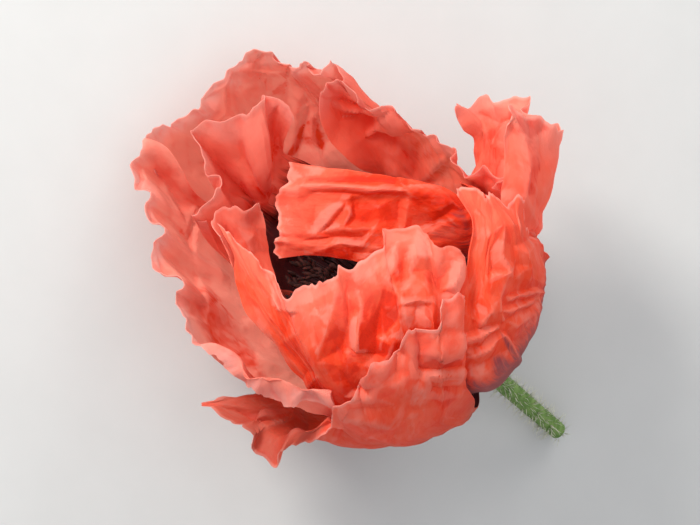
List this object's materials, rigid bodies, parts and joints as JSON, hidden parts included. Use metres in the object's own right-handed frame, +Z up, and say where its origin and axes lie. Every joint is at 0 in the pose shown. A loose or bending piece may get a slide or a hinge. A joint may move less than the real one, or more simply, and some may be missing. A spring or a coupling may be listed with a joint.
{
  "type": "poppy flower",
  "caption": "Large coral-orange poppy flower, half open and crumpled, with layered wavy petals, dark stamens round a rayed seed head, and a short cut stem, lying on its side.",
  "frame": {"origin": "centre of the footprint, on the surface that the flower lies on", "axes": "+Z up, +X level from the cut end of the stem towards the mouth of the bloom, +Y to the left seen along +X"},
  "size_m": [0.1414, 0.1128, 0.087],
  "materials": {
    "petal": "satin, crumpled like crepe paper",
    "stem": "matte, bristly",
    "ovary": "matte, bloomy",
    "stigma_disc": "velvet matte",
    "stamens": "matte, dusty with pollen"
  },
  "bodies": {
    "root": {"stem": "stem", "ovary": "ovary", "stigma_disc": "stigma_disc", "stamens": "stamens", "outer_front": "petal", "outer_left": "petal", "outer_back": "petal", "outer_right": "petal", "ear": "petal", "inner_back": "petal", "inner_front": "petal", "inner_left": "petal", "side_fold": "petal", "centre_fold": "petal"}
  },
  "joints": []
}
